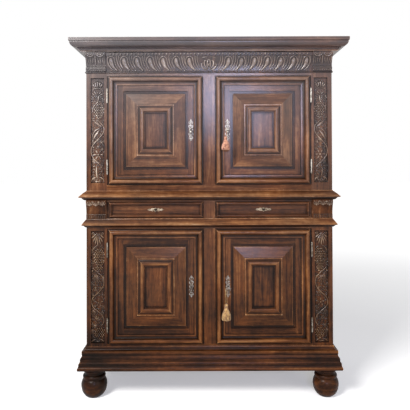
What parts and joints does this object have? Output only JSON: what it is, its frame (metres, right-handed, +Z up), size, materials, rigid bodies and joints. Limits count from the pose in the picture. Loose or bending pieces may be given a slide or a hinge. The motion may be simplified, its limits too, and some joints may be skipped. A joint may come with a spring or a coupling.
{
  "type": "two-stage carved cupboard",
  "caption": "Two-stage walnut cupboard with framed and bevelled doors, drawers between the stages, carved pilasters, a gadrooned frieze, moulded cornice and bun feet.",
  "frame": {"origin": "on the floor under the middle of the cupboard's overall width and depth", "axes": "+Z up; -Y out of the front; +X to the right seen from the front"},
  "size_m": [1.54, 0.6, 2],
  "materials": {
    "walnut": "waxed dark walnut with worn copper-brown edges",
    "inner_wood": "unfinished old oak and poplar",
    "worn_steel": "worn wrought iron, dull",
    "pale_brass": "pale worn brass",
    "tassel_copper": "copper-pink silk floss",
    "tassel_gold": "golden silk floss"
  },
  "bodies": {
    "carcass": {"front_feet": "walnut", "rear_feet": "walnut", "plinth_moulding": "walnut", "lower_posts": "walnut", "lower_sides": "walnut", "lower_front_frame": "walnut", "lower_boards": "inner_wood", "lower_back_boards": "inner_wood", "waist_moulding": "walnut", "drawer_corner_blocks": "walnut", "drawer_runners": "inner_wood", "table_top": "walnut", "upper_posts": "walnut", "upper_sides": "walnut", "upper_front_frame": "walnut", "upper_boards": "inner_wood", "upper_back_boards": "inner_wood", "frieze": "walnut", "frieze_corner_blocks": "walnut", "cornice": "walnut", "fixed_hinge_leaves": "worn_steel", "strike_plates": "worn_steel"},
    "upper_left_door": {"upper_left_door_frame": "walnut", "upper_left_door_panel": "walnut", "upper_left_door_escutcheon": "worn_steel", "upper_left_door_lock": "worn_steel", "upper_left_door_hinge_leaves": "worn_steel"},
    "upper_left_door_bolt": {"upper_left_door_bolt": "worn_steel"},
    "upper_right_door": {"upper_right_door_frame": "walnut", "upper_right_door_panel": "walnut", "upper_right_door_escutcheon": "worn_steel", "upper_right_door_lock": "worn_steel", "upper_right_door_hinge_leaves": "worn_steel"},
    "upper_right_door_bolt": {"upper_right_door_bolt": "worn_steel"},
    "upper_key": {"upper_key": "worn_steel"},
    "upper_tassel": {"upper_tassel": "tassel_copper"},
    "lower_left_door": {"lower_left_door_frame": "walnut", "lower_left_door_panel": "walnut", "lower_left_door_escutcheon": "worn_steel", "lower_left_door_lock": "worn_steel", "lower_left_door_hinge_leaves": "worn_steel"},
    "lower_left_door_bolt": {"lower_left_door_bolt": "worn_steel"},
    "lower_right_door": {"lower_right_door_frame": "walnut", "lower_right_door_panel": "walnut", "lower_right_door_escutcheon": "worn_steel", "lower_right_door_lock": "worn_steel", "lower_right_door_hinge_leaves": "worn_steel"},
    "lower_right_door_bolt": {"lower_right_door_bolt": "worn_steel"},
    "lower_key": {"lower_key": "worn_steel"},
    "lower_tassel": {"lower_tassel": "tassel_gold"},
    "left_drawer": {"left_drawer_front": "walnut", "left_drawer_box": "inner_wood", "left_drawer_escutcheon": "pale_brass", "left_drawer_lock": "worn_steel"},
    "left_drawer_bolt": {"left_drawer_bolt": "worn_steel"},
    "right_drawer": {"right_drawer_front": "walnut", "right_drawer_box": "inner_wood", "right_drawer_escutcheon": "pale_brass", "right_drawer_lock": "worn_steel"},
    "right_drawer_bolt": {"right_drawer_bolt": "worn_steel"}
  },
  "joints": [
    {"name": "upper_left_door_hinge", "type": "hinge", "parent": "carcass", "child": "upper_left_door", "pos_m": [-0.5725, -0.2248, 1.494], "axis": [0, 0, -1], "range_deg": [0, 105]},
    {"name": "upper_left_door_bolt_slide", "type": "slide", "parent": "upper_left_door", "child": "upper_left_door_bolt", "axis": [1, 0, 0], "range_m": [0, 0.01]},
    {"name": "upper_right_door_hinge", "type": "hinge", "parent": "carcass", "child": "upper_right_door", "pos_m": [0.5725, -0.2248, 1.494], "axis": [0, 0, 1], "range_deg": [0, 105]},
    {"name": "upper_right_door_bolt_slide", "type": "slide", "parent": "upper_right_door", "child": "upper_right_door_bolt", "axis": [-1, 0, 0], "range_m": [0, 0.01]},
    {"name": "upper_key_turn", "type": "hinge", "parent": "upper_right_door", "child": "upper_key", "pos_m": [0.1025, -0.2, 1.494], "axis": [0, -1, 0], "range_deg": [0, 90]},
    {"name": "upper_tassel_swing", "type": "hinge", "parent": "upper_key", "child": "upper_tassel", "pos_m": [0.0905, -0.272, 1.494], "axis": [0, 1, 0], "range_deg": [0, 90]},
    {"name": "lower_left_door_hinge", "type": "hinge", "parent": "carcass", "child": "lower_left_door", "pos_m": [-0.5725, -0.2248, 0.619], "axis": [0, 0, -1], "range_deg": [0, 105]},
    {"name": "lower_left_door_bolt_slide", "type": "slide", "parent": "lower_left_door", "child": "lower_left_door_bolt", "axis": [1, 0, 0], "range_m": [0, 0.01]},
    {"name": "lower_right_door_hinge", "type": "hinge", "parent": "carcass", "child": "lower_right_door", "pos_m": [0.5725, -0.2248, 0.619], "axis": [0, 0, 1], "range_deg": [0, 105]},
    {"name": "lower_right_door_bolt_slide", "type": "slide", "parent": "lower_right_door", "child": "lower_right_door_bolt", "axis": [-1, 0, 0], "range_m": [0, 0.01]},
    {"name": "lower_key_turn", "type": "hinge", "parent": "lower_right_door", "child": "lower_key", "pos_m": [0.1025, -0.2, 0.619], "axis": [0, -1, 0], "range_deg": [0, 90]},
    {"name": "lower_tassel_swing", "type": "hinge", "parent": "lower_key", "child": "lower_tassel", "pos_m": [0.0905, -0.272, 0.619], "axis": [0, 1, 0], "range_deg": [0, 90]},
    {"name": "left_drawer_slide", "type": "slide", "parent": "carcass", "child": "left_drawer", "axis": [0, -1, 0], "range_m": [0, 0.28]},
    {"name": "left_drawer_bolt_slide", "type": "slide", "parent": "left_drawer", "child": "left_drawer_bolt", "axis": [0, 0, 1], "range_m": [0, 0.008]},
    {"name": "right_drawer_slide", "type": "slide", "parent": "carcass", "child": "right_drawer", "axis": [0, -1, 0], "range_m": [0, 0.28]},
    {"name": "right_drawer_bolt_slide", "type": "slide", "parent": "right_drawer", "child": "right_drawer_bolt", "axis": [0, 0, 1], "range_m": [0, 0.008]}
  ],
  "couplings": [
    {"joint": "upper_key_turn", "follows": "upper_right_door_bolt_slide", "rad_per_m": 157.08},
    {"joint": "upper_tassel_swing", "follows": "upper_right_door_bolt_slide", "rad_per_m": 157.08},
    {"joint": "lower_key_turn", "follows": "lower_right_door_bolt_slide", "rad_per_m": 157.08},
    {"joint": "lower_tassel_swing", "follows": "lower_right_door_bolt_slide", "rad_per_m": 157.08}
  ]
}
